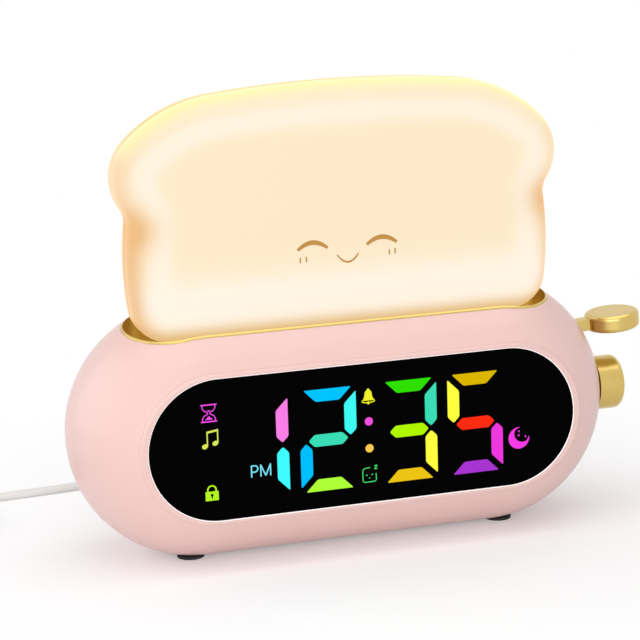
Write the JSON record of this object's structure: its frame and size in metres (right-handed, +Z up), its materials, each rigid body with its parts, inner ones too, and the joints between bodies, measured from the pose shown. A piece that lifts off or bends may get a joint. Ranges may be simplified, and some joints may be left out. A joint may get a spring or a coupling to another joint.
{
  "type": "kids alarm clock with night light",
  "caption": "Pill-shaped pink alarm clock with a dark oval display, a glowing bread-slice night light in a gold slot, and a gold lever and knob on one end.",
  "frame": {"origin": "on the table under the middle of the clock without its cord", "axes": "+X to the lever and knob end, +Y to the back, +Z up"},
  "size_m": [0.2777, 0.1239, 0.1571],
  "materials": {
    "pink_gloss": "glossy moulded, pale pink",
    "smoked_window": "polished, smoked",
    "smoked_film": "matt diffusing film",
    "white_reflector": "matt white",
    "circuit_board": "solder mask",
    "light_chips": "clear resin",
    "gold_satin": "satin metallised gold",
    "warm_cream": "matt diffusing",
    "black_plastic": "matt",
    "steel": "plated",
    "nut_brass": "plated",
    "black_rubber": "matt",
    "speaker_metal": "painted",
    "paper_cone": "matt pulp",
    "cell_case": "plated",
    "white_cable": "soft sleeve",
    "white_plug": "satin",
    "plug_shell": "plated"
  },
  "bodies": {
    "housing": {"front_housing": "pink_gloss", "rear_cover": "pink_gloss", "display_lens": "smoked_window", "display_film": "smoked_film", "display_reflector": "white_reflector", "display_board": "circuit_board", "display_leds": "light_chips", "slot_liner": "gold_satin", "lamp_shell_front": "warm_cream", "lamp_shell_rear": "warm_cream", "lamp_base": "warm_cream", "lamp_board": "circuit_board", "lamp_leds": "light_chips", "lamp_screws": "steel", "housing_screws": "steel", "lever_pivot_pin": "steel", "lever_board": "circuit_board", "lever_switch": "black_plastic", "encoder_case": "steel", "encoder_nut": "nut_brass", "encoder_board": "circuit_board", "main_board": "circuit_board", "button_switches": "black_plastic", "speaker_frame": "speaker_metal", "speaker_magnet": "speaker_metal", "speaker_cone": "paper_cone", "power_socket": "black_plastic", "cell_holder": "black_plastic", "coin_cell": "cell_case", "battery_hatch": "pink_gloss", "feet": "black_rubber", "cord_plug": "white_plug", "cord_tube": "white_cable", "cord_coil": "white_cable", "far_plug": "white_plug", "far_plug_shell": "plug_shell", "far_plug_tongue": "white_plug"},
    "lever": {"lever": "gold_satin"},
    "lever_plunger": {"lever_switch_plunger": "black_plastic"},
    "encoder_rotor": {"encoder_rotor": "black_plastic"},
    "knob": {"knob": "gold_satin", "knob_shaft": "steel"},
    "button_1": {"button_1": "pink_gloss", "button_plunger_1": "black_plastic"},
    "button_2": {"button_2": "pink_gloss", "button_plunger_2": "black_plastic"},
    "button_3": {"button_3": "pink_gloss", "button_plunger_3": "black_plastic"},
    "button_4": {"button_4": "pink_gloss", "button_plunger_4": "black_plastic"}
  },
  "joints": [
    {"name": "lever_press", "type": "hinge", "parent": "housing", "child": "lever", "pos_m": [0.07325, 0.002, 0.0633], "axis": [0, 1, 0], "range_deg": [0, 4], "stiffness_Nm_per_rad": 0.25, "springref_deg": -3.44},
    {"name": "lever_switch_press", "type": "slide", "parent": "housing", "child": "lever_plunger", "axis": [0, 0, 1], "range_m": [0, 0.0006]},
    {"name": "knob_turn", "type": "hinge", "parent": "housing", "child": "encoder_rotor", "pos_m": [0.08, 0.002, 0.0426], "axis": [1, 0, 0], "continuous": true},
    {"name": "knob_press", "type": "slide", "parent": "encoder_rotor", "child": "knob", "axis": [-1, 0, 0], "range_m": [0, 0.0005], "stiffness_N_per_m": 800, "springref_m": -0.002},
    {"name": "button_1_press", "type": "slide", "parent": "housing", "child": "button_1", "axis": [0, -1, 0], "range_m": [0, 0.0006], "stiffness_N_per_m": 500, "springref_m": -0.002},
    {"name": "button_2_press", "type": "slide", "parent": "housing", "child": "button_2", "axis": [0, -1, 0], "range_m": [0, 0.0006], "stiffness_N_per_m": 500, "springref_m": -0.002},
    {"name": "button_3_press", "type": "slide", "parent": "housing", "child": "button_3", "axis": [0, -1, 0], "range_m": [0, 0.0006], "stiffness_N_per_m": 500, "springref_m": -0.002},
    {"name": "button_4_press", "type": "slide", "parent": "housing", "child": "button_4", "axis": [0, -1, 0], "range_m": [0, 0.0006], "stiffness_N_per_m": 500, "springref_m": -0.002}
  ],
  "couplings": [
    {"joint": "lever_switch_press", "follows": "lever_press", "m_per_rad": 0.007}
  ]
}
